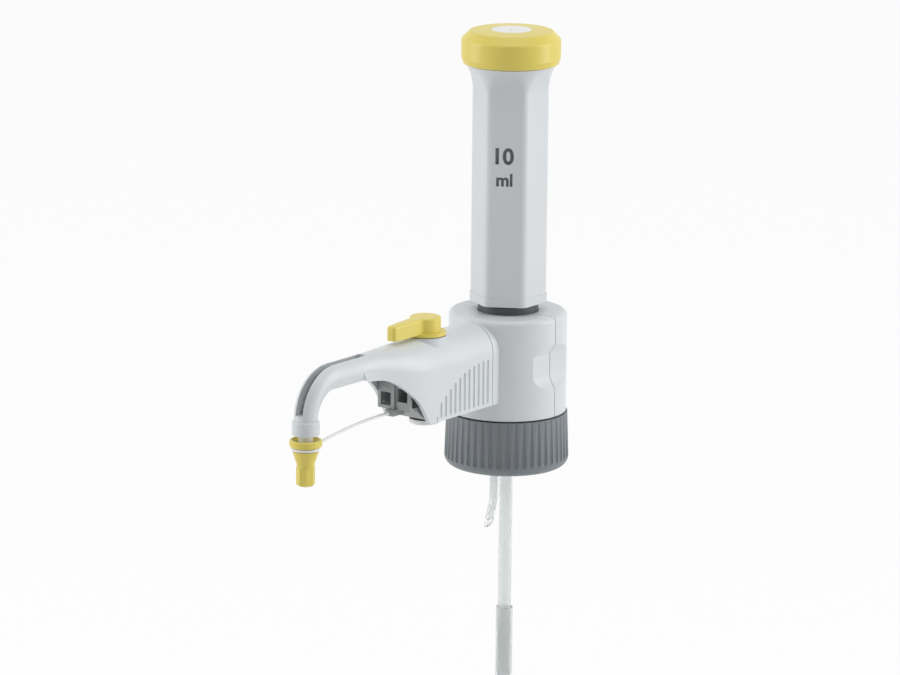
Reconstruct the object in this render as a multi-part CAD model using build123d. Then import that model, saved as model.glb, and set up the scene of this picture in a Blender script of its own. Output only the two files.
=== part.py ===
from build123d import *
import math
import os

# A bottle-top dispenser: piston, valve block and discharge arm on a screw ring.
# Sizes are in millimetres. The origin is on the bottle's axis at the mouth of the screw ring.
# +Z is up and the discharge arm points along -Y.

# Clearances
body_gap = 0.35            # between faces of pieces that move past each other
fit_gap = 0.04             # radial play of a shaft or piston in its bore
seat_gap = 0.06            # radial play of a fixed piece in its seat
seam_gap = 0.4             # visible joint between two covers
overcut = 1.0              # how far a cutting tool runs past the face it cuts

# Screw ring and bottle thread
ring_radius = 27.5
ring_top_radius = 26.8
ring_height = 24.6
ring_foot_round = 4.5
ring_cavity_radius = 22.75
thread_crest_radius = 21.25
thread_pitch = 4.0
thread_crest_width = 1.2
thread_root_width = 2.6
thread_start = 0.6
thread_turns = 4
ring_shelf_thickness = 3.25
flute_count = 48
flute_radius = 1.55
flute_depth = 1.0
flute_start = 5.4

# Valve block
washer_thickness = 1.5
washer_inner_radius = 12.0
flange_radius = 20.8
flange_thickness = 4.0
neck_radius = 18.0
block_radius = 26.1
block_height = 44.8
block_top_round = 2.4
block_wall = 4.6
block_roof = 2.6
base_disc_thickness = 4.0
ledge_width = 2.5
ledge_height = 2.0
tower_radius = 15.0
seam_depth = 0.8           # of the seam below the floor of the finger dent
dent_depth = 3.0
dent_top_height = 32.7     # above the block's foot
dent_lip = 4.4             # height of the sloping face at the dent's top
dent_floor_height = 8.5
dent_fade = 6.9            # height over which the dent runs out below
post_offset = 18.2
post_radius = 2.7
post_length = 12.0
post_heights = (10.5, 37.0)
screw_shank_radius = 1.3
screw_head_radius = 2.4
screw_head_height = 1.6
screw_head_seat = 11.0
screw_socket_depth = 0.8
screw_reach = 9.0
vent_bore_radius = 1.0
vent_offset = 12.0
vent_height = 36.0
vent_cap_radius = 5.0
vent_cap_height = 3.0
vent_cap_round = 0.8
vent_stem_radius = 3.0

# Dosing cylinder, guide tube and safety ring
bore_radius = 7.0
stroke = 65.0
cylinder_wall = 1.6
cylinder_spare = 8.0
cylinder_seat_depth = 10.1  # of the cylinder's floor below the block's top
cylinder_seal_thickness = 1.0
socket_depth = 6.0
socket_wall = 3.1
guide_radius = 11.0
guide_wall = 1.4
guide_foot_radius = 11.8
guide_foot_height = 2.0
guide_rim_radius = 12.9
guide_rim_height = 4.0
safety_radius = 13.3
safety_height = 3.6        # that shows above the block
safety_chamfer = 0.5

# Piston and sleeve
seal_length = 6.5
seal_lip = 1.6
seal_waist_depth = 0.5
seal_stud_radius = 4.0
seal_stud_length = 4.0
piston_radius = 6.5
piston_floor_gap = 0.5
piston_socket = 3.0
head_thickness = 8.0
head_gap = 4.0
sleeve_headroom = 20.2     # from the piston head to the sleeve's top
sleeve_flare_length = 15.0
sleeve_flare_rim = 5.0
sleeve_apothem = 15.0
sleeve_corner_round = 4.0
sleeve_middle_apothem = 16.4
sleeve_middle_round = 8.2
sleeve_flare_radius = 19.9
sleeve_flare_round = 19.6
sleeve_bore = 13.6
sleeve_rim_height = 3.9
sleeve_rim_proud = 0.35
stop_ring_height = 4.0
cap_radius = 21.8
cap_foot_radius = 21.0
cap_foot_height = 2.6
cap_height = 14.2
cap_top_round = 3.6
cap_shoulder_round = 1.6
cap_dome = 0.5
cap_crown = 0.4            # height of the dome at the cover plate's edge
cap_wall = 2.4
cap_spigot_depth = 6.0
cover_radius = 8.9
cover_thickness = 1.6
cover_edge_round = 0.4
cover_dot_radius = 0.8
adjuster_radius = 4.0
adjuster_depth = 4.0
adjuster_head_radius = 6.0
adjuster_head_height = 3.0
adjuster_play = 1.0
adjuster_slot_width = 1.2
adjuster_slot_depth = 1.5

# Filling valve and tubes below the block
valve_body_radius = 5.0
valve_hex_flats = 13.0
valve_hex_height = 3.5
valve_chamber_radius = 3.2
valve_body_cover = 6.0
valve_seat_lift = 7.5
valve_seat_thickness = 1.5
valve_seat_hole = 1.9
valve_slot_width = 1.2
valve_slot_depth = 2.0
filling_ball_radius = 2.5
ball_travel = 1.5
nozzle_root_radius = 1.9
nozzle_barb_radius = 2.15
nozzle_tip_radius = 1.7
nozzle_length = 11.0
nozzle_barb_height = 4.0
nozzle_barb_step = 0.4
nozzle_hole_radius = 1.2
filling_tube_radius = 2.9
filling_tube_wall = 0.7
filling_tube_end = -110.0
telescope_radius = 3.7
telescope_top = -66.0
telescope_length = 134.0
telescope_cut_angle = 25.0
return_offset = 9.0
return_tube_radius = 1.8
return_tube_wall = 0.6
return_tube_seat = 7.0
return_bend_height = -15.0
return_end = -27.0
return_end_offset = 13.5
return_bend_radius = 12.0
return_cut_angle = 35.0

# Discharge arm
arm_half_width = 12.4
arm_step = 0.9             # of the arm's ridge below the block's top
arm_lift = 8.2             # of the arm's lower edge above the block's foot
boss_reach = 1.5
arm_nose = 11.0            # straight part in front of the valve
taper_length = 39.0
taper_sections = 5
arm_wall = 2.0
arm_boss_radius = 9.5
arm_boss_rise = 0.15
arm_boss_depth = 8.0
spout_radius = 5.7
spout_drop = 6.2           # of the spout's middle line below the arm's ridge
spout_run = 16.5
spout_bend_radius = 16.0
spout_end_radius = 5.1
spout_sections = 14
spout_root = 8.0           # how far the spout's round body reaches back into the arm
under_cut_margin = 0.4
under_cut_lead = 5.0
under_cut_knee = (0.24, 0.46)      # shares of the underside's run and rise
under_cut_crown = (0.52, 0.79)
slot_width = 3.8
slot_lead = 5.5
slot_foot = 2.6            # solid spout left above the collar
arm_flute_count = 11
arm_flute_pitch = 3.33
arm_flute_inset = 3.4
arm_flute_radius = 0.8
arm_flute_depth = 0.7
arm_flute_lift = 2.1
arm_flute_length = 18.3
arm_flute_drop = 13.1
arm_flute_curve = 2.2
arm_notch_width = 0.5
arm_notch_height = 2.6
arm_notch_inset = 4.0

# Arm frame
arm_floor_lift = 1.2
arm_floor_thickness = 1.6
arm_rib = 1.4
ramp_length = 6.5
shelf_lift = 7.9
bulkhead_inset = 10.7
web_proud = 0.8
window_rim = 1.1
window_width = 5.4
window_height = 5.8
window_lift = 2.4
lug_inset = 6.0
lug_length = 8.0
lug_half_width = 2.2
lug_thickness = 2.6
lug_drop = 1.0

# Discharge passage and recirculation valve
outlet_drop = 3.0          # of the valve's outlet below the spout's middle line
passage_step = 4.0         # of the valve's inlet below its outlet
return_drop = 8.0          # of the return passage below the valve's inlet
passage_radius = 1.4
return_radius = 1.0
port_half_width = 6.0
port_margin = 3.5
port_inset = 0.5
valve_reach = 32.4
plug_radius = 4.0
plug_neck_radius = 2.8
groove_half_width = 1.0
groove_depth = 1.2
barrel_radius = 6.8
barrel_cover = 4.3
barrel_back = 12.0
discharge_chamber_radius = 3.0
discharge_seat_inset = 3.4
discharge_ball_radius = 2.0
spring_wire_radius = 0.25
spring_radius = 2.1
spring_turns = 6
nipple_radius = 3.0
nipple_length = 2.6
nut_radius = 4.2
nut_length = 6.0
discharge_tube_radius = 1.75
discharge_tube_wall = 0.5
tube_level_run = 9.0
tube_rise_inset = 13.0
tube_bend_radius = 30.0
tube_lift = 2.4            # of the tube above the spout's middle line
collar_radius = 5.9
collar_leg = 0.1
collar_height = 6.0
collar_round = 0.7
tip_radius = 3.1
tip_reach = 10.5
tube_reach = 8.6
disc_radius = 6.7
disc_thickness = 2.2
disc_round = 0.9
disc_floor = 0.8
disc_drop = 3.3            # of the retainer's underside below the arm
plug_ring_radius = 6.2
plug_ring_height = 1.3

# Recirculation lever
lever_base_radius = 9.0
lever_base_height = 1.5
lever_hub_radius = 6.8
lever_root_half_width = 3.4
lever_tip_half_width = 2.3
lever_tip_round = 1.4
lever_neck_round = 3.0
lever_length = 24.6
lever_height = 7.9
lever_tip_drop = 0.7
lever_underside = 1.1
lever_edge_round = 0.9

# Tip cap and its tether
cap_gap = 2.2              # between the collar and the tip cap's rim
cap_length = 20.2
cap_rim_radius = 6.95
cap_rim_height = 3.0
cap_rim_round = 0.4
cap_mouth_radius = 5.9
cap_mouth_depth = 2.7
cap_groove_radius = 4.9
cap_shoulder_radius = 5.8
cap_barrel_radius = 4.05
cap_barrel_length = 9.7
cap_barrel_lap = 1.5
cap_cone_foot_radius = 3.9
cap_bottom_round = 1.3
cap_barrel_sides = 8
cap_floor_thickness = 2.4
tether_ring_width = 0.95
tether_ring_height = 1.1
strap_radius = 0.75
strap_bow = 1.3

# Derived places
block_bottom = ring_height + 2 * body_gap
block_top = block_bottom + block_height
ring_shelf = ring_height - ring_shelf_thickness
flange_top = ring_shelf - body_gap
flange_bottom = flange_top - flange_thickness
washer_bottom = flange_bottom - washer_thickness
base_disc_top = block_bottom + base_disc_thickness
block_inner_radius = block_radius - block_wall
roof_inside = block_top - block_roof
cylinder_floor = block_top - cylinder_seat_depth
cylinder_radius = bore_radius + cylinder_wall
socket_radius = cylinder_radius + seat_gap
socket_top = cylinder_floor + socket_depth
socket_outer_radius = socket_radius + socket_wall
cylinder_foot = cylinder_floor + cylinder_seal_thickness
seal_bottom = cylinder_foot + piston_floor_gap
seal_top = seal_bottom + seal_length
cylinder_top = seal_top + stroke + cylinder_spare
safety_top = block_top + safety_height
sleeve_bottom = safety_top + seam_gap
stop_ring_bottom = sleeve_bottom + body_gap
guide_top = stop_ring_bottom + stop_ring_height + stroke + body_gap + guide_rim_height
head_bottom = guide_top + head_gap
head_top = head_bottom + head_thickness
sleeve_top = head_top + sleeve_headroom
sleeve_flare_start = sleeve_top - sleeve_flare_length
sleeve_flare_middle = sleeve_top - sleeve_flare_rim
cap_foot = sleeve_top + seam_gap
cap_top = cap_foot + cap_height
cover_bottom = cap_top - cover_thickness
cap_roof_inside = cap_top - cap_wall - cover_thickness
adjuster_top = cover_bottom - body_gap
valve_hex_bottom = flange_bottom - valve_hex_height
valve_seat_top = flange_bottom + valve_seat_thickness + valve_seat_lift
ball_rise = math.sqrt(filling_ball_radius ** 2 - valve_seat_hole ** 2)
filling_ball_height = valve_seat_top + ball_rise + fit_gap
valve_chamber_top = filling_ball_height + filling_ball_radius + ball_travel + body_gap
valve_body_top = valve_chamber_top + valve_body_cover
filling_tube_bore = filling_tube_radius - filling_tube_wall
telescope_bore = filling_tube_radius + 2 * fit_gap
telescope_bottom = telescope_top - telescope_length
arm_apex = block_top - arm_step
arm_bottom = block_bottom + arm_lift
arm_root = block_radius + boss_reach
boss_end = arm_root - seam_gap
stopcock_offset = arm_root + valve_reach
arm_straight_end = stopcock_offset + arm_nose
spout_start = arm_straight_end + taper_length
spout_bend_start = spout_start + spout_run
nozzle_offset = spout_bend_start + spout_bend_radius
spout_height = arm_apex - spout_drop
spout_foot = spout_height - spout_bend_radius
arm_open_end = spout_start - spout_root
arm_boss_top = arm_apex + arm_boss_rise
arm_floor_bottom = arm_bottom + arm_floor_lift
arm_floor_top = arm_floor_bottom + arm_floor_thickness
outlet_height = spout_height - outlet_drop
passage_height = outlet_height - passage_step
return_height = passage_height - return_drop
port_bottom = return_height - port_margin
port_top = passage_height + port_margin
barrel_top = outlet_height + barrel_cover
barrel_rear = stopcock_offset - barrel_back
barrel_front = stopcock_offset + barrel_radius
discharge_seat_offset = arm_root + discharge_seat_inset
discharge_ball_reach = math.sqrt(discharge_ball_radius ** 2 - passage_radius ** 2)
discharge_ball_offset = discharge_seat_offset + discharge_ball_reach + fit_gap
spring_start = discharge_ball_offset + discharge_ball_radius + spring_wire_radius
plug_top = arm_boss_top + body_gap
lever_base_top = plug_top + lever_base_height
lever_top = plug_top + lever_height
plug_bottom = arm_bottom - disc_drop
disc_top = plug_bottom + disc_thickness
plug_neck_top = disc_top + plug_ring_height
tube_height = spout_height + tube_lift
tube_turn_radius = spout_bend_radius + tube_lift
tube_turn_start = nozzle_offset - tube_turn_radius
collar_top = spout_foot - collar_leg
collar_bottom = collar_top - collar_height
slot_start = spout_start - slot_lead
slot_end = collar_top + slot_foot
tip_bottom = collar_bottom - tip_reach
tube_tip = tip_bottom - tube_reach
cap_rim_top = collar_bottom - cap_gap
cap_bottom = cap_rim_top - cap_length
cap_rim_bottom = cap_rim_top - cap_rim_height
cap_barrel_top = cap_bottom + cap_barrel_length
cap_bore = tip_radius + body_gap
tether_ring_bore = cap_groove_radius + body_gap
tether_ring_radius = tether_ring_bore + tether_ring_width
tether_ring_top = cap_rim_bottom - body_gap
tether_ring_bottom = tether_ring_top - tether_ring_height
shelf_top = arm_bottom + shelf_lift
shelf_bottom = shelf_top - arm_rib
ramp_end = arm_straight_end + ramp_length
bulkhead_front = arm_straight_end + bulkhead_inset
bulkhead_top = outlet_height - nut_radius - body_gap
lug_rear = arm_straight_end + lug_inset
lug_front = lug_rear + lug_length
lug_top = shelf_top - lug_drop
lug_bottom = lug_top - lug_thickness


def disc(radius, low, high, x=0.0, y=0.0):
    """A cylinder standing on the level low, up to high."""
    return Pos(x, y, low) * Cylinder(radius, high - low, align=(Align.CENTER, Align.CENTER, Align.MIN))


def tube(outer, inner, low, high, x=0.0, y=0.0):
    """A hollow cylinder from low to high."""
    return disc(outer, low, high, x, y) - disc(inner, low - overcut, high + overcut, x, y)


def rod_y(radius, near, far, z, x=0.0):
    """A cylinder along -Y, from y = -near to y = -far."""
    rod = Cylinder(radius, far - near, align=(Align.CENTER, Align.CENTER, Align.MIN))
    return Pos(x, -near, z) * Rot(90, 0, 0) * rod


def block(x_low, x_high, y_low, y_high, z_low, z_high):
    """A box between two corners."""
    size = (x_high - x_low, y_high - y_low, z_high - z_low)
    return Pos(x_low, y_low, z_low) * Box(*size, align=(Align.MIN, Align.MIN, Align.MIN))


def turned(points, y=0.0):
    """A turned piece from its half profile, as (radius, height) points."""
    outline = Plane.XZ * make_face(Polyline(*points, close=True))
    return Pos(0, y, 0) * revolve(outline, Axis.Z)


def side_slab(outline, half_width):
    """A slab of the closed side outline, drawn as (distance in front, height)."""
    face = make_face(outline)
    side_plane = Plane(origin=(half_width, 0, 0), x_dir=(0, -1, 0), z_dir=(-1, 0, 0))
    return extrude(side_plane * face, 2 * half_width)


def below_slant(radius, tilt, level, y=0.0):
    """What lies below a plane tilted by these angles, which crosses the tube's axis at level."""
    size = 8 * radius
    below = Box(size, size, size, align=(Align.CENTER, Align.CENTER, Align.MAX))
    return Pos(0, y, level) * Rot(*tilt) * below


# Screw ring
def make_screw_ring():
    round_centre = ring_radius - ring_foot_round
    diagonal = ring_foot_round * math.sqrt(0.5)
    profile = [
        ThreePointArc((round_centre, 0), (round_centre + diagonal, ring_foot_round - diagonal),
                      (ring_radius, ring_foot_round)),
        Polyline(
            (ring_radius, ring_foot_round),
            (ring_top_radius, ring_height),
            (neck_radius + body_gap, ring_height),
            (neck_radius + body_gap, ring_shelf),
            (ring_cavity_radius, ring_shelf),
            (ring_cavity_radius, 0),
            (round_centre, 0),
        ),
    ]
    ring = revolve(Plane.XZ * make_face(profile), Axis.Z)
    half_crest = thread_crest_width / 2
    half_root = thread_root_width / 2
    for turn in range(thread_turns):
        centre = thread_start + turn * thread_pitch
        ridge = [
            (ring_cavity_radius + seat_gap, max(centre - half_root, 0)),
            (thread_crest_radius, centre - half_crest),
            (thread_crest_radius, centre + half_crest),
            (ring_cavity_radius + seat_gap, centre + half_root),
        ]
        ring = ring + turned(ridge)
    flute_centre = ring_radius - flute_depth + flute_radius
    flute_length = ring_height + overcut - flute_start
    flute = Pos(flute_centre, 0, flute_start) * (
        Cylinder(flute_radius, flute_length, align=(Align.CENTER, Align.CENTER, Align.MIN)) + Sphere(flute_radius)
    )
    step = 360 / flute_count
    return ring - [Rot(0, 0, step * index) * flute for index in range(flute_count)]


# Valve block
def make_valve_block_core():
    core = disc(flange_radius, flange_bottom, flange_top)
    core += disc(neck_radius, flange_top, block_bottom)
    core += disc(block_inner_radius, block_bottom, base_disc_top)
    core += disc(tower_radius, base_disc_top, cylinder_floor)
    core += disc(socket_outer_radius, cylinder_floor, socket_top)
    core += block(-port_half_width, port_half_width, -boss_end, 0, port_bottom, port_top)
    core -= disc(socket_radius, cylinder_floor, socket_top + overcut)
    core -= disc(valve_body_radius + seat_gap, flange_bottom - overcut, valve_body_top + body_gap)
    core -= disc(passage_radius, valve_body_top, cylinder_floor + overcut)
    core -= rod_y(passage_radius, 0, boss_end + overcut, passage_height)
    core -= disc(return_radius, flange_bottom - overcut, return_height, 0, -return_offset)
    tube_seat_top = flange_bottom + return_tube_seat
    core -= disc(return_tube_radius + seat_gap, flange_bottom - overcut, tube_seat_top, 0, -return_offset)
    core -= rod_y(return_radius, return_offset, boss_end + overcut, return_height)
    core -= disc(vent_bore_radius, flange_bottom - overcut, vent_height, 0, vent_offset)
    core -= rod_y(vent_bore_radius, -tower_radius - overcut, -vent_offset, vent_height)
    return core


def make_housing_shell():
    """The whole cover of the block, before it is parted into front and rear."""
    shell = disc(block_radius, block_bottom, block_top)
    shell = fillet(shell.edges().group_by(Axis.Z)[-1], block_top_round)
    shell += arch_prism(arm_half_width, arm_apex, arm_bottom, tower_radius, boss_end)
    shell -= disc(block_inner_radius, block_bottom - overcut, roof_inside)
    shell -= disc(safety_radius + body_gap, roof_inside - overcut, block_top + overcut)
    ledge_bore = block_inner_radius - ledge_width
    shell += tube(block_inner_radius + overcut, ledge_bore, base_disc_top, base_disc_top + ledge_height)
    port_width = port_half_width + seat_gap
    shell -= block(-port_width, port_width, -boss_end - overcut, 0, port_bottom - seat_gap, port_top + seat_gap)
    dent = dent_tool()
    shell -= dent
    shell -= mirror(dent, Plane.YZ)
    outside = block_radius + overcut
    seam = block(-outside, outside, -seam_gap / 2, seam_gap / 2, 0, block_top + overcut)
    seam -= disc(block_radius - dent_depth - seam_depth, 0, block_top - seam_gap)
    return shell - seam


def dent_tool():
    """The finger dent at the parting line: a sharp lip above, a flat floor, fading out below."""
    floor = block_radius - dent_depth
    outside = block_radius + overcut
    top = block_bottom + dent_top_height
    lip_foot = top - dent_lip
    floor_foot = lip_foot - dent_floor_height
    outer_top = top + overcut * dent_lip / dent_depth
    outer_foot = floor_foot - dent_fade - overcut
    outline = [
        Polyline((outside, outer_foot), (outside, outer_top), (floor, lip_foot), (floor, floor_foot)),
        Spline((floor, floor_foot), (outside, outer_foot), tangents=((0, -1), (1, -1))),
    ]
    return extrude(Plane.XZ * make_face(outline), block_radius, both=True)


def post_places():
    return [(side * post_offset, block_bottom + height) for side in (-1, 1) for height in post_heights]


def make_front_housing():
    wide = 2 * block_radius
    half = make_housing_shell() & block(-wide, wide, -wide, 0, 0, 2 * block_top)
    for x, z in post_places():
        half += rod_y(post_radius, 0, post_length, z, x)
        half -= rod_y(screw_shank_radius, -overcut, screw_reach + overcut, z, x)
    return half


def make_rear_housing():
    wide = 2 * block_radius
    half = make_housing_shell() & block(-wide, wide, 0, wide, 0, 2 * block_top)
    for x, z in post_places():
        half += rod_y(post_radius, -post_length, 0, z, x)
        half -= rod_y(screw_head_radius + seat_gap, -block_radius, -screw_head_seat, z, x)
        half -= rod_y(screw_shank_radius + seat_gap, -screw_head_seat - overcut, overcut, z, x)
    return half - rod_y(vent_stem_radius + seat_gap, -block_radius - overcut, -tower_radius, vent_height)


def make_housing_screws():
    head_end = screw_head_seat + screw_head_height
    screws = []
    for x, z in post_places():
        screw = rod_y(screw_head_radius, -head_end, -screw_head_seat, z, x)
        screw += rod_y(screw_shank_radius, -screw_head_seat, screw_reach, z, x)
        screw -= rod_y(screw_shank_radius, -head_end - overcut, screw_socket_depth - head_end, z, x)
        screws.append(screw)
    return Compound(children=screws)


def make_vent_cap():
    dome = rod_y(vent_cap_radius, -block_radius - vent_cap_height, -block_inner_radius, vent_height)
    dome = fillet(dome.edges().group_by(Axis.Y)[-1], vent_cap_round)
    dome -= disc(block_radius, block_bottom, block_top)
    stem = rod_y(vent_stem_radius, -block_radius, -tower_radius, vent_height)
    return dome + stem


def make_sealing_washer():
    return tube(flange_radius, washer_inner_radius, washer_bottom, flange_bottom)


def make_safety_ring():
    ring = disc(safety_radius, cylinder_floor + overcut, safety_top)
    ring = chamfer(ring.edges().group_by(Axis.Z)[-1], safety_chamfer)
    ring -= disc(socket_outer_radius + seat_gap, 0, socket_top + guide_foot_height)
    return ring - disc(guide_radius + seat_gap, 0, safety_top + overcut)


# Dosing cylinder
def make_glass_cylinder():
    return tube(cylinder_radius, bore_radius, cylinder_foot, cylinder_top)


def make_cylinder_seal():
    return tube(cylinder_radius, bore_radius - cylinder_wall, cylinder_floor, cylinder_foot)


def make_guide_tube():
    guide = disc(guide_radius, socket_top, guide_top)
    guide += disc(guide_foot_radius, socket_top, socket_top + guide_foot_height)
    guide += disc(guide_rim_radius, guide_top - guide_rim_height, guide_top)
    return guide - disc(guide_radius - guide_wall, socket_top - overcut, guide_top + overcut)


# Piston unit
def make_piston_seal():
    seal = disc(bore_radius - fit_gap, seal_bottom, seal_top)
    seal -= disc(seal_stud_radius, seal_top - seal_stud_length, seal_top + overcut)
    waist_radius = bore_radius - seal_waist_depth
    waist = disc(bore_radius, seal_bottom + seal_lip, seal_top - seal_lip)
    waist -= disc(waist_radius, seal_bottom, seal_top)
    return seal - waist


def make_piston():
    stud = disc(seal_stud_radius, seal_top - seal_stud_length, seal_top)
    return stud + disc(piston_radius, seal_top, head_bottom + piston_socket)


def make_piston_head():
    head = disc(sleeve_bore, head_bottom, head_top)
    head -= disc(piston_radius + seat_gap, head_bottom - overcut, head_bottom + piston_socket)
    return head - disc(adjuster_radius + seat_gap, head_top - adjuster_depth, head_top + overcut)


def hexagon(apothem, corner_round, level):
    """A hexagon with round corners, one of them towards the arm."""
    shape = RegularPolygon(apothem, 6, major_radius=False, rotation=30)
    shape = fillet(shape.vertices(), corner_round)
    return Plane.XY.offset(level) * shape


def make_cylinder_sleeve():
    shape = hexagon(sleeve_apothem, sleeve_corner_round, sleeve_bottom)
    body = extrude(shape, sleeve_flare_start - sleeve_bottom)
    rim_shape = hexagon(sleeve_apothem + sleeve_rim_proud, sleeve_corner_round, sleeve_bottom)
    body += extrude(rim_shape, sleeve_rim_height)
    flare = loft([
        hexagon(sleeve_apothem, sleeve_corner_round, sleeve_flare_start),
        hexagon(sleeve_middle_apothem, sleeve_middle_round, sleeve_flare_middle),
        hexagon(sleeve_flare_radius, sleeve_flare_round, sleeve_top),
    ])
    body += flare
    return body - disc(sleeve_bore, sleeve_bottom - overcut, sleeve_top + overcut)


def make_stop_ring():
    bore = guide_radius + body_gap
    return tube(sleeve_bore, bore, stop_ring_bottom, stop_ring_bottom + stop_ring_height)


def make_top_cap():
    spigot_bottom = sleeve_top - cap_spigot_depth
    profile = [
        (0, cap_top + cap_dome),
        (cover_radius, cap_top + cap_crown),
        (cap_radius - cap_top_round, cap_top),
        (cap_radius, cap_top - cap_top_round),
        (cap_radius, cap_foot + cap_foot_height),
        (cap_foot_radius, cap_foot),
        (sleeve_bore, cap_foot),
        (sleeve_bore, spigot_bottom),
        (sleeve_bore - cap_wall, spigot_bottom),
        (sleeve_bore - cap_wall, cap_roof_inside),
        (0, cap_roof_inside),
    ]
    cap = turned(profile)
    levels = (round(cap_top, 3), round(cap_top - cap_top_round, 3))
    circles = cap.edges().filter_by(GeomType.CIRCLE)
    shoulder = [edge for edge in circles if round(edge.center().Z, 3) in levels]
    cap = fillet(shoulder, cap_shoulder_round)
    cap -= disc(cover_radius + seat_gap, cover_bottom, cap_top + cap_dome + overcut)
    return cap - disc(adjuster_head_radius + adjuster_play, cap_roof_inside - overcut, cap_top)


def make_cover_plate():
    plate = disc(cover_radius, cover_bottom, cap_top + cap_dome)
    plate = fillet(plate.edges().group_by(Axis.Z)[-1], cover_edge_round)
    return plate - disc(cover_dot_radius, cap_top, cap_top + cap_dome + overcut)


def make_adjusting_screw():
    head_foot = adjuster_top - adjuster_head_height
    screw = disc(adjuster_radius, head_top - adjuster_depth, head_foot)
    screw += disc(adjuster_head_radius, head_foot, adjuster_top)
    half_slot = adjuster_slot_width / 2
    slot_floor = adjuster_top - adjuster_slot_depth
    return screw - block(-adjuster_head_radius, adjuster_head_radius, -half_slot, half_slot, slot_floor, cap_top)


# Filling valve and tubes
def make_filling_valve_body():
    hexagon_flange = extrude(
        Plane.XY.offset(valve_hex_bottom) * RegularPolygon(valve_hex_flats / 2, 6, major_radius=False),
        valve_hex_height,
    )
    body = hexagon_flange + disc(valve_body_radius, flange_bottom, valve_body_top)
    nozzle_bottom = valve_hex_bottom - nozzle_length
    body += turned([
        (0, valve_hex_bottom),
        (nozzle_root_radius, valve_hex_bottom),
        (nozzle_root_radius, nozzle_bottom + nozzle_barb_height),
        (nozzle_barb_radius, nozzle_bottom + nozzle_barb_height - nozzle_barb_step),
        (nozzle_tip_radius, nozzle_bottom),
        (0, nozzle_bottom),
    ])
    body -= disc(nozzle_hole_radius, nozzle_bottom - overcut, valve_body_top + overcut)
    body -= disc(valve_chamber_radius, valve_seat_top - valve_seat_thickness, valve_chamber_top)
    half_slot = valve_slot_width / 2
    slot_top = valve_chamber_top + valve_slot_depth
    reach = filling_ball_radius
    slot = block(-reach, reach, -half_slot, half_slot, valve_chamber_top - overcut, slot_top)
    return body - slot - Rot(0, 0, 90) * slot


def make_filling_valve_seat():
    return tube(valve_chamber_radius, valve_seat_hole, valve_seat_top - valve_seat_thickness, valve_seat_top)


def make_filling_ball():
    return Pos(0, 0, filling_ball_height) * Sphere(filling_ball_radius)


def make_filling_tube_upper():
    return tube(filling_tube_radius, filling_tube_bore, filling_tube_end, valve_hex_bottom)


def make_filling_tube_lower():
    pipe = tube(telescope_radius, telescope_bore, telescope_bottom, telescope_top)
    slant_height = telescope_radius * math.tan(math.radians(telescope_cut_angle))
    return pipe - below_slant(telescope_radius, (0, telescope_cut_angle, 0), telescope_bottom + slant_height)


def make_recirculation_tube():
    route = FilletPolyline(
        (0, -return_offset, flange_bottom + return_tube_seat),
        (0, -return_offset, return_bend_height),
        (0, -return_end_offset, return_end),
        radius=return_bend_radius,
    )
    start = Plane(origin=route @ 0, z_dir=route % 0)
    pipe = sweep(start * Circle(return_tube_radius), path=route)
    hole = sweep(start * Circle(return_tube_radius - return_tube_wall), path=route)
    cut_level = return_end + return_tube_radius
    cut = below_slant(return_tube_radius, (return_cut_angle, 0, 0), cut_level, -return_end_offset)
    return pipe - hole - cut


# Arm shell
def arch_face(half_width, apex, bottom, distance):
    """The arm's arched cross-section, upright at y = -distance."""
    centre = apex - half_width
    outline = [
        Line((half_width, bottom), (half_width, centre)),
        ThreePointArc((half_width, centre), (0, apex), (-half_width, centre)),
        Line((-half_width, centre), (-half_width, bottom)),
        Line((-half_width, bottom), (half_width, bottom)),
    ]
    return Plane.XZ.offset(distance) * make_face(outline)


def arch_prism(half_width, apex, bottom, near, far):
    return extrude(arch_face(half_width, apex, bottom, near), far - near)


def arm_half_at(distance):
    """Half the arm's width: it eases from the straight part into the spout."""
    share = min(max((distance - arm_straight_end) / taper_length, 0), 1)
    ease = share * share * (3 - 2 * share)
    return arm_half_width + (spout_radius - arm_half_width) * ease


def arm_apex_at(distance):
    """Height of the arm's ridge, which falls evenly to the spout's top."""
    share = (distance - arm_straight_end) / taper_length
    return arm_apex + (spout_height + spout_radius - arm_apex) * share


def tapered_arch(wall, bottom):
    """The arm where it narrows towards the spout, thinner all round by wall."""
    sections = []
    for index in range(taper_sections):
        distance = arm_straight_end + taper_length * index / (taper_sections - 1)
        sections.append(arch_face(arm_half_at(distance) - wall, arm_apex_at(distance) - wall, bottom, distance))
    return loft(sections)


def under_cut():
    """What the sloping underside takes away in front of the level bottom."""
    start = (arm_straight_end, arm_bottom - overcut)
    end = (spout_start - under_cut_lead, spout_height - spout_radius + under_cut_margin)
    run = end[0] - arm_straight_end
    rise = end[1] - arm_bottom
    knee = (arm_straight_end + run * under_cut_knee[0], arm_bottom + rise * under_cut_knee[1])
    crown = (arm_straight_end + run * under_cut_crown[0], arm_bottom + rise * under_cut_crown[1])
    side = (spout_start, spout_height)
    curve = Spline(start, knee, crown, end, tangents=((0.55, 0.8), (1, 0.02)))
    flank = Spline(end, side, tangents=((1, 0.02), (0.3, 1)))
    beyond = spout_start + spout_radius
    rest = Polyline(side, (beyond, spout_height), (beyond, 0), (arm_straight_end, 0), start)
    return side_slab([curve, flank, rest], arm_half_width + overcut)


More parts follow.
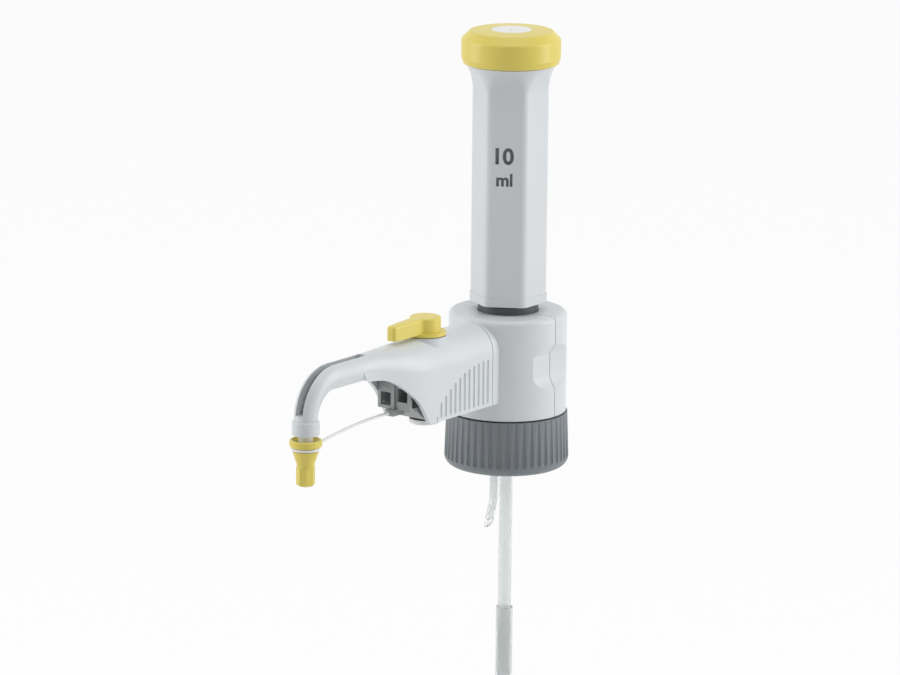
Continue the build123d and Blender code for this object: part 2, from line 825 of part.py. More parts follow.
def make_spout():
    """The spout's round body: out of the arm, round the bend and down to the collar."""
    corner = (0, -nozzle_offset, spout_height)
    route = FilletPolyline(
        (0, -arm_open_end, spout_height), corner, (0, -nozzle_offset, collar_top), radius=spout_bend_radius)
    bend_share = (spout_bend_start - arm_open_end) / route.length
    faces = []
    for index in range(spout_sections + 1):
        share = index / spout_sections
        narrowing = max(share - bend_share, 0) / (1 - bend_share)
        radius = spout_radius + (spout_end_radius - spout_radius) * narrowing
        faces.append(Plane(origin=route @ share, x_dir=(1, 0, 0), z_dir=route % share) * Circle(radius))
    return loft(faces)


def tube_route():
    """The discharge tube's middle line, from the valve's nipple to its open end."""
    start = barrel_front + nipple_length
    return FilletPolyline(
        (0, -start, outlet_height),
        (0, -start - tube_level_run, outlet_height),
        (0, tube_rise_inset - spout_start, tube_height),
        (0, -nozzle_offset, tube_height),
        (0, -nozzle_offset, tube_tip),
        radius=[tube_bend_radius, tube_bend_radius, tube_turn_radius],
    )


def pipe_on(route, radius):
    return sweep(Plane(origin=route @ 0, z_dir=route % 0) * Circle(radius), path=route)


def spout_slot():
    """The open slot along the spout's outer side and the round bed of the discharge tube."""
    half = slot_width / 2
    far = nozzle_offset + 2 * spout_radius
    high = tube_height + 2 * spout_radius
    turn_end = math.acos((slot_end - spout_foot) / tube_turn_radius)

    def on_turn(angle):
        return (
            tube_turn_start + tube_turn_radius * math.sin(angle),
            spout_foot + tube_turn_radius * math.cos(angle),
        )

    end = on_turn(turn_end)
    outline = [
        Line((slot_start, tube_height), on_turn(0)),
        ThreePointArc(on_turn(0), on_turn(turn_end / 2), end),
        Polyline(end, (far, end[1]), (far, high), (slot_start, high), (slot_start, tube_height)),
    ]
    return pipe_on(tube_route(), half) + side_slab(outline, half)


def arm_flutes():
    """The row of upright grooves on both sides, each shorter than the last."""
    grooves = []
    depth_place = arm_half_width - arm_flute_depth + arm_flute_radius
    foot = arm_bottom + arm_flute_lift
    for index in range(arm_flute_count):
        share = index / (arm_flute_count - 1)
        top = foot + arm_flute_length - arm_flute_drop * share ** arm_flute_curve
        distance = arm_root + arm_flute_inset + arm_flute_pitch * index
        for side in (-1, 1):
            grooves.append(disc(arm_flute_radius, foot, top, side * depth_place, -distance))
            grooves.append(Pos(side * depth_place, -distance, top) * Sphere(arm_flute_radius))
            grooves.append(Pos(side * depth_place, -distance, foot) * Sphere(arm_flute_radius))
    return grooves


def make_arm_shell():
    shell = arch_prism(arm_half_width, arm_apex, arm_bottom, arm_root, arm_straight_end)
    shell += tapered_arch(0, arm_bottom) - under_cut()
    shell += disc(arm_boss_radius, arm_boss_top - arm_boss_depth, arm_boss_top, 0, -stopcock_offset)
    low = arm_bottom - overcut
    inner_half = arm_half_width - arm_wall
    inside = arch_prism(inner_half, arm_apex - arm_wall, low, arm_root - overcut, arm_straight_end)
    lap = -arm_straight_end + fit_gap
    hollow = block(-arm_half_width, arm_half_width, -arm_open_end, lap, 0, block_top)
    inside += tapered_arch(arm_wall, low) & hollow
    shell -= inside
    shell += make_spout()
    shell -= spout_slot()
    shell -= disc(plug_radius + body_gap, barrel_top, arm_boss_top + overcut, 0, -stopcock_offset)
    notch_y = arm_notch_inset - arm_straight_end
    half_notch = arm_notch_width / 2
    outside = arm_half_width + overcut
    notch_top = arm_bottom + arm_notch_height
    notch = block(-outside, outside, notch_y - half_notch, notch_y + half_notch, 0, notch_top)
    return shell - notch - arm_flutes()


# Arm frame
def make_arm_frame():
    """The ribbed piece in the arm: floor, ramp, shelf, bulkhead with windows, web and tether lug."""
    half = arm_half_width - arm_wall
    front_half = arm_half_at(bulkhead_front) - arm_wall - body_gap
    floor_end = arm_straight_end - body_gap
    frame = block(-half, half, -floor_end, -arm_root, arm_floor_bottom, arm_floor_top)
    ramp = Polyline(
        (floor_end - arm_rib, arm_floor_bottom),
        (floor_end, arm_floor_bottom),
        (ramp_end, shelf_bottom),
        (bulkhead_front, shelf_bottom),
        (bulkhead_front, shelf_top),
        (ramp_end - arm_rib, shelf_top),
        (floor_end - arm_rib, arm_floor_top),
        close=True,
    )
    frame += side_slab(ramp, front_half)
    bulkhead_rear = bulkhead_front - arm_rib
    frame += block(-front_half, front_half, -bulkhead_front, -bulkhead_rear, shelf_bottom, bulkhead_top)
    frame -= frame_window(1, window_lift)
    frame -= frame_window(-1, 0)
    web_front = bulkhead_front + web_proud
    web = Polyline(
        (floor_end - arm_rib, arm_floor_bottom),
        (ramp_end, shelf_bottom),
        (web_front, shelf_bottom),
        (web_front, bulkhead_top - arm_rib),
        (bulkhead_rear, bulkhead_top),
        (floor_end - arm_rib, bulkhead_top),
        close=True,
    )
    frame += side_slab(web, arm_rib / 2)
    frame += block(-lug_half_width, lug_half_width, -lug_front, -lug_rear, lug_bottom, lug_top)
    frame -= disc(barrel_radius + seat_gap, arm_floor_top, barrel_top, 0, -stopcock_offset)
    return frame - disc(plug_radius + 2 * body_gap, 0, barrel_top, 0, -stopcock_offset)


def frame_window(side, lift):
    """A window through the bulkhead on one side of the web."""
    near = side * (arm_rib / 2 + window_rim)
    far = near + side * window_width
    low = shelf_top + lift
    deep = bulkhead_front - arm_rib - overcut
    return block(min(near, far), max(near, far), -bulkhead_front - overcut, -deep, low, low + window_height)


def make_discharge_valve_body():
    body = block(-port_half_width, port_half_width, -barrel_rear, -boss_end, port_bottom, port_top)
    body -= rod_y(passage_radius, boss_end - overcut, discharge_seat_offset + overcut, passage_height)
    body -= rod_y(discharge_chamber_radius, discharge_seat_offset, barrel_rear + overcut, passage_height)
    return body - rod_y(return_radius, boss_end - overcut, barrel_rear + overcut, return_height)


def make_discharge_ball():
    return Pos(0, -discharge_ball_offset, passage_height) * Sphere(discharge_ball_radius)


def make_discharge_spring():
    length = barrel_rear - spring_start - spring_wire_radius
    coil = Helix(pitch=length / spring_turns, height=length, radius=spring_radius)
    wire = sweep(Plane(origin=coil @ 0, z_dir=coil % 0) * Circle(spring_wire_radius), path=coil, is_frenet=True)
    return Pos(0, -spring_start, passage_height) * Rot(90, 0, 0) * wire


def make_valve_barrel():
    half = port_half_width - port_inset
    barrel = disc(barrel_radius, arm_floor_top, barrel_top, 0, -stopcock_offset)
    barrel += block(-half, half, -stopcock_offset, -barrel_rear, port_bottom, port_top)
    nipple_end = barrel_front + nipple_length
    barrel += rod_y(nipple_radius, stopcock_offset, nipple_end, outlet_height)
    barrel -= disc(plug_radius + fit_gap, 0, barrel_top + overcut, 0, -stopcock_offset)
    barrel -= rod_y(passage_radius, barrel_rear - overcut, stopcock_offset, passage_height)
    barrel -= rod_y(return_radius, barrel_rear - overcut, stopcock_offset, return_height)
    return barrel - rod_y(passage_radius, stopcock_offset, nipple_end + overcut, outlet_height)


def make_tube_nut():
    start = barrel_front + body_gap
    end = start + nut_length
    nut = rod_y(nut_radius, start, end, outlet_height)
    nut -= rod_y(nipple_radius + seat_gap, start - overcut, barrel_front + nipple_length, outlet_height)
    return nut - rod_y(discharge_tube_radius + seat_gap, start, end + overcut, outlet_height)


def make_discharge_tube():
    route = tube_route()
    return pipe_on(route, discharge_tube_radius) - pipe_on(route, discharge_tube_radius - discharge_tube_wall)


def make_nozzle_collar():
    collar = disc(collar_radius, collar_bottom, collar_top, 0, -nozzle_offset)
    collar = fillet(collar.edges().group_by(Axis.Z)[-1], collar_round)
    return collar - disc(discharge_tube_radius + seat_gap, 0, collar_top + overcut, 0, -nozzle_offset)


def make_nozzle_tip():
    tip = disc(tip_radius, tip_bottom, collar_bottom, 0, -nozzle_offset)
    return tip - disc(discharge_tube_radius + seat_gap, 0, collar_bottom + overcut, 0, -nozzle_offset)


# Tether and tip cap
def make_tether_strap():
    rim_edge = nozzle_offset - cap_rim_radius - body_gap
    start = (0, -rim_edge, (tether_ring_top + tether_ring_bottom) / 2)
    end = (0, -lug_front, (lug_bottom + lug_top) / 2)
    middle = (0, (start[1] + end[1]) / 2, (start[2] + end[2]) / 2 + strap_bow)
    return pipe_on(ThreePointArc(start, middle, end), strap_radius)


def make_tether_ring():
    return tube(tether_ring_radius, tether_ring_bore, tether_ring_bottom, tether_ring_top, 0, -nozzle_offset)


def make_tip_cap():
    shoulder_top = tether_ring_bottom - body_gap
    mouth_floor = cap_rim_top - cap_mouth_depth
    barrel_foot = cap_bottom + cap_floor_thickness
    cap = turned([
        (0, barrel_foot),
        (cap_cone_foot_radius - cap_rim_round, barrel_foot),
        (cap_cone_foot_radius, cap_barrel_top),
        (cap_shoulder_radius, shoulder_top),
        (cap_groove_radius, shoulder_top),
        (cap_groove_radius, cap_rim_bottom),
        (cap_rim_radius - cap_rim_round, cap_rim_bottom),
        (cap_rim_radius, cap_rim_bottom + cap_rim_round),
        (cap_rim_radius, cap_rim_top - cap_rim_round),
        (cap_rim_radius - cap_rim_round, cap_rim_top),
        (cap_mouth_radius, cap_rim_top),
        (cap_bore, mouth_floor),
        (0, mouth_floor),
    ])
    barrel_height = cap_barrel_length - cap_barrel_lap
    barrel_shape = RegularPolygon(cap_barrel_radius, cap_barrel_sides)
    barrel = extrude(Plane.XY.offset(cap_bottom) * barrel_shape, barrel_height)
    barrel = fillet(barrel.edges().group_by(Axis.Z)[0], cap_bottom_round)
    cap += barrel
    cap -= disc(cap_bore, tip_bottom - body_gap, cap_rim_top)
    cap -= disc(discharge_tube_radius + body_gap, barrel_foot, cap_rim_top)
    return Pos(0, -nozzle_offset, 0) * cap


# Recirculation valve plug and lever
def make_valve_plug():
    rear = stopcock_offset - plug_radius
    front = stopcock_offset + plug_radius
    plug = disc(plug_radius, plug_neck_top, plug_top, 0, -stopcock_offset)
    plug += disc(plug_neck_radius, plug_bottom + disc_floor, plug_neck_top, 0, -stopcock_offset)
    plug -= rod_y(passage_radius, rear - overcut, stopcock_offset, passage_height)
    plug -= rod_y(passage_radius, stopcock_offset, front + overcut, outlet_height)
    plug -= disc(passage_radius, passage_height, outlet_height, 0, -stopcock_offset)
    groove_low = return_height - return_radius
    groove_high = passage_height + passage_radius
    half = groove_half_width
    return plug - block(-half, half, -front - overcut, groove_depth - front, groove_low, groove_high)


def lever_plan():
    """The lever from above: a round hub and a narrower handle with a blunt tip."""
    tip_y = -stopcock_offset - lever_length
    handle = make_face(Polyline(
        (lever_root_half_width, -stopcock_offset),
        (lever_tip_half_width, tip_y),
        (-lever_tip_half_width, tip_y),
        (-lever_root_half_width, -stopcock_offset),
        close=True,
    ))
    hub = Pos(0, -stopcock_offset) * Rot(0, 0, -90) * Circle(lever_hub_radius)
    plan = hub + handle
    corners = plan.vertices().sort_by(Axis.Y)
    plan = fillet(corners[:2], lever_tip_round)
    necks = [v for v in plan.vertices() if v.Y > tip_y + lever_tip_round + overcut]
    return fillet(necks, lever_neck_round)


def make_lever():
    handle = extrude(Plane.XY.offset(plug_top) * lever_plan(), lever_height + overcut)
    rear = stopcock_offset - lever_hub_radius - overcut
    hub_front = stopcock_offset + lever_hub_radius
    tip = stopcock_offset + lever_length + overcut
    underside = plug_top + lever_underside
    tip_top = lever_top - lever_tip_drop
    outline = [
        Spline((rear, lever_top), (hub_front, lever_top), (tip, tip_top), tangents=((1, 0), (1, -0.08))),
        Polyline((tip, tip_top), (tip, underside), (rear, underside), (rear, lever_top)),
    ]
    handle = handle & side_slab(outline, lever_hub_radius + overcut)
    handle = fillet(handle.faces().sort_by(Axis.Z)[-1].edges(), lever_edge_round)
    return handle + disc(lever_base_radius, plug_top, lever_base_top, 0, -stopcock_offset)


def make_plug_retainer():
    plate = disc(disc_radius, plug_bottom, disc_top, 0, -stopcock_offset)
    plate = fillet(plate.edges().group_by(Axis.Z)[0], disc_round)
    return plate - disc(plug_neck_radius, plug_bottom + disc_floor, disc_top + overcut, 0, -stopcock_offset)


def make_plug_ring():
    return tube(plug_ring_radius, plug_neck_radius, disc_top, plug_neck_top, 0, -stopcock_offset)


nodes = {
    "screw_ring": make_screw_ring,
    "valve_block_core": make_valve_block_core,
    "front_housing": make_front_housing,
    "rear_housing": make_rear_housing,
    "housing_screws": make_housing_screws,
    "vent_cap": make_vent_cap,
    "sealing_washer": make_sealing_washer,
    "safety_ring": make_safety_ring,
    "glass_cylinder": make_glass_cylinder,
    "cylinder_seal": make_cylinder_seal,
    "guide_tube": make_guide_tube,
    "piston_seal": make_piston_seal,
    "piston": make_piston,
    "piston_head": make_piston_head,
    "cylinder_sleeve": make_cylinder_sleeve,
    "stop_ring": make_stop_ring,
    "top_cap": make_top_cap,
    "cover_plate": make_cover_plate,
    "adjusting_screw": make_adjusting_screw,
    "filling_valve_body": make_filling_valve_body,
    "filling_valve_seat": make_filling_valve_seat,
    "filling_ball": make_filling_ball,
    "filling_tube_upper": make_filling_tube_upper,
    "filling_tube_lower": make_filling_tube_lower,
    "recirculation_tube": make_recirculation_tube,
    "arm_shell": make_arm_shell,
    "arm_frame": make_arm_frame,
    "discharge_valve_body": make_discharge_valve_body,
    "discharge_ball": make_discharge_ball,
    "discharge_spring": make_discharge_spring,
    "valve_barrel": make_valve_barrel,
    "tube_nut": make_tube_nut,
    "discharge_tube": make_discharge_tube,
    "nozzle_collar": make_nozzle_collar,
    "nozzle_tip": make_nozzle_tip,
    "tether_strap": make_tether_strap,
    "tether_ring": make_tether_ring,
    "tip_cap": make_tip_cap,
    "valve_plug": make_valve_plug,
    "lever": make_lever,
    "plug_retainer": make_plug_retainer,
    "plug_ring": make_plug_ring,
}

os.makedirs("parts", exist_ok=True)
for node, make in nodes.items():
    export_step(make(), "parts/" + node + ".step")
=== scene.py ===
"""Bottle-top dispenser: finishes, printed mark, soft tether and studio around the fixed frame."""

import math

import bmesh
import bpy
from mathutils import Matrix, Vector


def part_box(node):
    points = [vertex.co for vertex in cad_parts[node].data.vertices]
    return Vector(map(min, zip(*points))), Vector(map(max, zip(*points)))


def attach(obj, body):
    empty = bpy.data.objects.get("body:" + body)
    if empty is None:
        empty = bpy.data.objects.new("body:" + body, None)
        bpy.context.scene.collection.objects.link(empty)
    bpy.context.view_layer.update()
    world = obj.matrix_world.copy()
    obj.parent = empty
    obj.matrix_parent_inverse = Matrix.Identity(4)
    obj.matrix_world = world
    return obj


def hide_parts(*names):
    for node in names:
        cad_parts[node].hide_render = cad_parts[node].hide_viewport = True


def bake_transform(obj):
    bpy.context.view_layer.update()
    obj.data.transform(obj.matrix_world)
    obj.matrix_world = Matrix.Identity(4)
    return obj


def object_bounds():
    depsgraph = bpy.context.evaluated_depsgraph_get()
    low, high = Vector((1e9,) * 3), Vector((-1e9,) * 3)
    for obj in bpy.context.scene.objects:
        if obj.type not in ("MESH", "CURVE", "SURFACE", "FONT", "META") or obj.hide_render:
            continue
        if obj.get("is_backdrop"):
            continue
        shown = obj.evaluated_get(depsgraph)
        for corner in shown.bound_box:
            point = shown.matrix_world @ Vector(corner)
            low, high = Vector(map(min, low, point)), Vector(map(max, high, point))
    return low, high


bl_info = {
    "name": "Bottle-top Dispenser Dressing",
    "version": (1, 0, 0),
    "blender": (4, 5, 0),
    "location": "3D View > Sidebar > Dispenser",
    "description": "Finishes the dispenser's parts and sets up its studio",
    "category": "Object",
}

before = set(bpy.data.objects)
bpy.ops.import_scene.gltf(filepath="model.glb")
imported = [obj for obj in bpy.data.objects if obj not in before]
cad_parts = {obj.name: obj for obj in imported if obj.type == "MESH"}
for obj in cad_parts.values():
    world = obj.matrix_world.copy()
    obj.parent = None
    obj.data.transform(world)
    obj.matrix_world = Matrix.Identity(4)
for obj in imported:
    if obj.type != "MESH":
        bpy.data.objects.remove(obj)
MM = 0.001

# The printed mark and where the sleeve's flat face is read
MARK_FACE_TURN = math.radians(30)
MARK_SHIFT = -0.6 * MM
SLEEVE_RIM_CLEARANCE = 5 * MM
SLEEVE_FLARE_CLEARANCE = 14.5 * MM

# Lettering: extra stroke width for a letter one unit high, curve steps and the weld of its outline
LETTER_BOLDNESS = 0.03
LETTER_STEPS = 12
WELD_DISTANCE = 1e-7

# Moulded plastic: patches of colour and of gloss in a metre, and how much the roughness varies
MOTTLE_SCALE = 38.0
GLOSS_SCALE = 160.0
GLOSS_SPREAD = 0.10

# The tether strap's ends and how finely it bends
STRAP_RING_LAP = 0.3 * MM
STRAP_LUG_LAP = 0.2 * MM
STRAP_LUG_DROP = 0.8 * MM
STRAP_STEPS = 40

# The studio: each lamp has a place, a size and a share of the lamp power
LAMP_AIM = (0, -0.03, 0.07)
LAMPS = {
    "left_lamp": ((-1.15, -0.85, 0.45), (0.7, 1.4), 1.0),
    "right_lamp": ((1.2, 0.8, 0.45), (0.7, 1.4), 1.2),
    "top_lamp": ((0.1, -0.1, 1.5), (1.2, 1.2), 0.6),
}
SENSOR_WIDTH = 36.0
VIEW_DEPTH = 50.0
FLOOR_SIZE = 6.0
FLOOR_CLEARANCE = 2 * MM
FLOOR_GLOW = 0.94

SHELL_NODES = ("front_housing", "rear_housing", "vent_cap", "arm_shell", "cylinder_sleeve", "nozzle_collar")
WHITE_NODES = (
    "valve_block_core", "sealing_washer", "cylinder_seal", "filling_valve_body", "filling_valve_seat",
    "discharge_valve_body", "valve_barrel", "tube_nut", "nozzle_tip", "piston", "piston_seal", "cover_plate",
    "valve_plug", "plug_retainer",
)
YELLOW_NODES = ("top_cap", "lever", "tip_cap")
FRAME_NODES = ("arm_frame", "piston_head", "adjusting_screw")
DARK_NODES = ("safety_ring", "stop_ring")
TUBE_NODES = ("filling_tube_upper", "filling_tube_lower", "recirculation_tube")
GLASS_NODES = ("glass_cylinder", "filling_ball", "discharge_ball")
STEEL_NODES = ("housing_screws", "discharge_spring")


class Shade:
    """A socket in an expression: each operator adds the Math node that works it out."""

    def __init__(self, finish, socket):
        self.finish = finish
        self.socket = socket

    def _math(self, operation, first, second):
        return self.finish.node("ShaderNodeMath", {"operation": operation}, {0: first, 1: second})

    def __add__(self, other):
        return self._math("ADD", self, other)

    def __radd__(self, other):
        return self._math("ADD", other, self)

    def __sub__(self, other):
        return self._math("SUBTRACT", self, other)

    def __rsub__(self, other):
        return self._math("SUBTRACT", other, self)

    def __mul__(self, other):
        return self._math("MULTIPLY", self, other)

    def __rmul__(self, other):
        return self._math("MULTIPLY", other, self)


class Finish:
    """A material in the making, with its Principled shader and one method that adds any node."""

    def __init__(self, name):
        self.material = bpy.data.materials.new(name)
        self.material.use_nodes = True
        self.tree = self.material.node_tree
        self.shader = self.tree.nodes["Principled BSDF"]

    def node(self, kind, settings=None, sockets=None, output=0):
        made = self.tree.nodes.new(kind)
        for key, value in (settings or {}).items():
            setattr(made, key, value)
        for key, value in (sockets or {}).items():
            self.feed(made.inputs[key], value)
        return Shade(self, made.outputs[output])

    def feed(self, socket, value):
        if isinstance(value, Shade):
            self.tree.links.new(value.socket, socket)
        else:
            socket.default_value = value

    def set(self, **values):
        """Set or link inputs of the Principled shader, such as Roughness or Coat_Weight."""
        for key, value in values.items():
            self.feed(self.shader.inputs[key.replace("_", " ")], value)

    def place(self):
        return self.node("ShaderNodeTexCoord", output=3)

    def noise(self, scale, detail=2.0, roughness=0.5, stretch=None):
        """Smooth noise from 0 to 1; scale counts features in a metre."""
        where = self.place()
        if stretch is not None:
            where = self.node("ShaderNodeMapping", {}, {"Vector": where, "Scale": stretch})
        sockets = {"Vector": where, "Scale": scale, "Detail": detail, "Roughness": roughness}
        return self.node("ShaderNodeTexNoise", {}, sockets)

    def mix(self, first, second, share):
        sockets = {0: share, 6: first, 7: second}
        return self.node("ShaderNodeMix", {"data_type": "RGBA"}, sockets, output=2)

    def bump(self, height, depth, strength=1.0):
        sockets = {"Strength": strength, "Distance": depth, "Height": height}
        self.set(Normal=self.node("ShaderNodeBump", {}, sockets))


def rgba(colour, lighten=1.0):
    return (*(min(1.0, channel * lighten) for channel in colour[:3]), 1.0)


def dress(names, material):
    """Give the frame's own parts their material."""
    for name in names:
        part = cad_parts[name]
        if not part.material_slots:
            part.data.materials.append(material)
        for slot in part.material_slots:
            slot.material = material


class DispenserColours(bpy.types.PropertyGroup):
    """Colours of the moulded parts, as a maker would order them."""

    shell: bpy.props.FloatVectorProperty(
        name="Shell", description="Light grey of the housings, arm and sleeve",
        default=(0.66, 0.69, 0.71), subtype="COLOR", min=0, max=1)
    ring: bpy.props.FloatVectorProperty(
        name="Screw ring", description="Mid grey of the fluted ring",
        default=(0.185, 0.205, 0.222), subtype="COLOR", min=0, max=1)
    safety: bpy.props.FloatVectorProperty(
        name="Safety ring", description="Dark grey of the ring under the sleeve",
        default=(0.07, 0.08, 0.09), subtype="COLOR", min=0, max=1)
    yellow: bpy.props.FloatVectorProperty(
        name="Caps and lever", description="Pale yellow of the top cap, lever and tip cap",
        default=(0.75, 0.62, 0.115), subtype="COLOR", min=0, max=1)
    white: bpy.props.FloatVectorProperty(
        name="Valve parts", description="White of the wetted parts and the cover disc",
        default=(0.86, 0.86, 0.84), subtype="COLOR", min=0, max=1)
    inner: bpy.props.FloatVectorProperty(
        name="Inner frame", description="Grey of the ribbed frame inside the arm",
        default=(0.30, 0.32, 0.32), subtype="COLOR", min=0, max=1)
    ink: bpy.props.FloatVectorProperty(
        name="Printed mark", description="Dark grey ink of the capacity mark",
        default=(0.05, 0.06, 0.07), subtype="COLOR", min=0, max=1)


class DispenserSizes(bpy.types.PropertyGroup):
    """Sizes of what is printed on or strung between the parts."""

    number_height: bpy.props.FloatProperty(
        name="Number height", description="Height of the printed capacity number",
        default=7.4 * MM, unit="LENGTH")
    unit_height: bpy.props.FloatProperty(
        name="Unit height", description="Height of the printed unit below the number",
        default=5.7 * MM, unit="LENGTH")
    number_level: bpy.props.FloatProperty(
        name="Number level", description="Height of the number's middle on the sleeve",
        default=141.5 * MM, unit="LENGTH")
    unit_level: bpy.props.FloatProperty(
        name="Unit level", description="Height of the unit's middle on the sleeve",
        default=131.0 * MM, unit="LENGTH")
    ink_thickness: bpy.props.FloatProperty(
        name="Ink thickness", description="How far the print stands on the sleeve",
        default=0.04 * MM, unit="LENGTH")
    strap_width: bpy.props.FloatProperty(
        name="Strap width", description="Width of the tether strap",
        default=1.7 * MM, unit="LENGTH")
    strap_thickness: bpy.props.FloatProperty(
        name="Strap thickness", description="Thickness of the tether strap",
        default=1.4 * MM, unit="LENGTH")
    strap_bow: bpy.props.FloatProperty(
        name="Strap bow", description="How far the strap's middle rises above a straight line",
        default=1.3 * MM, unit="LENGTH")


class StudioSettings(bpy.types.PropertyGroup):
    """The camera's place and the strength of the lamps."""

    azimuth: bpy.props.FloatProperty(
        name="Azimuth", description="Camera direction, turned from straight in front of the arm",
        default=math.radians(37.095), subtype="ANGLE")
    elevation: bpy.props.FloatProperty(
        name="Elevation", description="Camera height above the level",
        default=math.radians(13.174), subtype="ANGLE")
    roll: bpy.props.FloatProperty(
        name="Roll", description="Small turn of the picture about the line of sight",
        default=math.radians(0.569), subtype="ANGLE")
    distance: bpy.props.FloatProperty(
        name="Distance", description="From the camera to the point it looks at",
        default=2.5019, unit="LENGTH")
    lens: bpy.props.FloatProperty(
        name="Lens", description="Focal length in millimetres on a 36 mm sensor", default=226.884)
    aim_aside: bpy.props.FloatProperty(
        name="Aim aside", description="Aim point, sideways from the bottle's axis",
        default=-25.436 * MM, unit="LENGTH")
    aim_height: bpy.props.FloatProperty(
        name="Aim height", description="Aim point above the ring's mouth",
        default=56.896 * MM, unit="LENGTH")
    key_power: bpy.props.FloatProperty(
        name="Lamp power", description="Power of the left lamp, which the others follow",
        default=10.0, unit="POWER")
    fill: bpy.props.FloatProperty(
        name="Fill", description="Strength of the even light from all round", default=0.43)


# Materials
def moulded(name, colour, roughness=0.42, grain=2600.0, depth=0.012 * MM, mottle=0.03,
            coat=0.0):
    """Injection-moulded plastic: faint mottling, fine spark-eroded grain and uneven gloss."""
    finish = Finish(name)
    cloud = finish.noise(MOTTLE_SCALE, detail=3.0)
    finish.set(
        Base_Color=finish.mix(rgba(colour, 1 - mottle), rgba(colour, 1 + mottle), cloud),
        Roughness=finish.noise(GLOSS_SCALE, detail=2.0) * GLOSS_SPREAD + (roughness - GLOSS_SPREAD / 2),
        Coat_Weight=coat,
    )
    finish.bump(finish.noise(grain, detail=2.0), depth)
    return finish.material


def fluoropolymer(name, colour):
    """Waxy white wetted parts, with a little light passing through."""
    finish = Finish(name)
    cloud = finish.noise(90.0, detail=2.0)
    finish.set(
        Base_Color=finish.mix(rgba(colour, 0.96), rgba(colour), cloud),
        Roughness=finish.noise(400.0) * 0.12 + 0.34,
        Subsurface_Weight=0.15,
        Subsurface_Scale=1.5 * MM,
    )
    finish.bump(finish.noise(1500.0), 0.008 * MM)
    return finish.material


def clear_tubing(name, tint, roughness, transmission=1.0):
    """See-through tube or glass, with faint draw lines along it."""
    finish = Finish(name)
    lines = finish.noise(500.0, detail=1.0, stretch=(1.0, 1.0, 0.05))
    finish.set(
        Base_Color=finish.mix(rgba(tint, 0.97), rgba(tint), lines),
        Roughness=lines * 0.05 + roughness,
        Transmission_Weight=transmission,
        IOR=1.38,
    )
    finish.bump(lines, 0.004 * MM)
    return finish.material


def steel(name):
    """Turned stainless steel with fine rings."""
    finish = Finish(name)
    rings = finish.noise(900.0, detail=2.0, stretch=(1.0, 0.1, 1.0))
    finish.set(
        Base_Color=finish.mix((0.52, 0.52, 0.53, 1), (0.64, 0.64, 0.64, 1), rings),
        Roughness=rings * 0.15 + 0.22,
        Metallic=1.0,
    )
    finish.bump(rings, 0.006 * MM)
    return finish.material


def rubber(name):
    finish = Finish(name)
    dust = finish.noise(300.0, detail=3.0)
    finish.set(Base_Color=finish.mix((0.018, 0.018, 0.02, 1), (0.035, 0.035, 0.037, 1), dust),
               Roughness=dust * 0.15 + 0.6)
    finish.bump(finish.noise(2200.0), 0.015 * MM)
    return finish.material


def ink(name, colour):
    """Pad-printed ink: thin, slightly uneven in colour and gloss."""
    finish = Finish(name)
    cover = finish.noise(1200.0, detail=3.0)
    finish.set(Base_Color=finish.mix(rgba(colour), rgba(colour, 1.5), cover), Roughness=cover * 0.2 + 0.4)
    return finish.material


# Mesh helpers
def new_piece(name, mesh, material, body=None):
    """Put a mesh in the scene and hang it on its body, if it is given one."""
    piece = bpy.data.objects.new(name, mesh)
    bpy.context.scene.collection.objects.link(piece)
    mesh.materials.append(material)
    if body:
        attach(piece, body)
    return piece


def mesh_of_text(words, height, thickness):
    """A flat piece of lettering, centred on its own middle and as high as asked."""
    curve = bpy.data.curves.new("lettering", "FONT")
    curve.body = words
    curve.align_x = "CENTER"
    curve.offset = LETTER_BOLDNESS
    curve.resolution_u = LETTER_STEPS
    helper = bpy.data.objects.new("lettering", curve)
    bpy.context.scene.collection.objects.link(helper)
    bpy.context.view_layer.update()
    mesh = bpy.data.meshes.new_from_object(helper.evaluated_get(bpy.context.evaluated_depsgraph_get()))
    bpy.data.objects.remove(helper)
    bpy.data.curves.remove(curve)
    low = Vector(min(v.co[i] for v in mesh.vertices) for i in range(3))
    high = Vector(max(v.co[i] for v in mesh.vertices) for i in range(3))
    scale = height / (high.y - low.y)
    middle = (low + high) / 2
    mesh.transform(Matrix.Scale(scale, 4) @ Matrix.Translation(-middle))
    shape = bmesh.new()
    shape.from_mesh(mesh)
    bmesh.ops.remove_doubles(shape, verts=shape.verts, dist=WELD_DISTANCE)
    grown = bmesh.ops.extrude_face_region(shape, geom=shape.faces[:])
    tops = [item for item in grown["geom"] if isinstance(item, bmesh.types.BMVert)]
    bmesh.ops.translate(shape, verts=tops, vec=(0, 0, thickness))
    bmesh.ops.recalc_face_normals(shape, faces=shape.faces)
    shape.to_mesh(mesh)
    shape.free()
    return mesh


def oval_sweep(points, width, thickness, sides=16):
    """A strap of oval section along a row of points in the plane x = 0, closed at both ends."""
    shape = bmesh.new()
    rings = []
    for index, point in enumerate(points):
        ahead = points[min(index + 1, len(points) - 1)]
        behind = points[max(index - 1, 0)]
        along = (ahead - behind).normalized()
        over = Vector((1, 0, 0)).cross(along)
        ring = []
        for side in range(sides):
            turn = 2 * math.pi * side / sides
            offset = Vector((width / 2 * math.cos(turn), 0, 0)) + over * (thickness / 2 * math.sin(turn))
            ring.append(shape.verts.new(point + offset))
        rings.append(ring)
    for near, far in zip(rings, rings[1:]):
        for side in range(sides):
            nxt = (side + 1) % sides
            shape.faces.new((near[side], near[nxt], far[nxt], far[side]))
    shape.faces.new(list(reversed(rings[0])))
    shape.faces.new(rings[-1])
    bmesh.ops.recalc_face_normals(shape, faces=shape.faces)
    for face in shape.faces:
        face.smooth = len(face.verts) == 4
    mesh = bpy.data.meshes.new("strap")
    shape.to_mesh(mesh)
    shape.free()
    return mesh


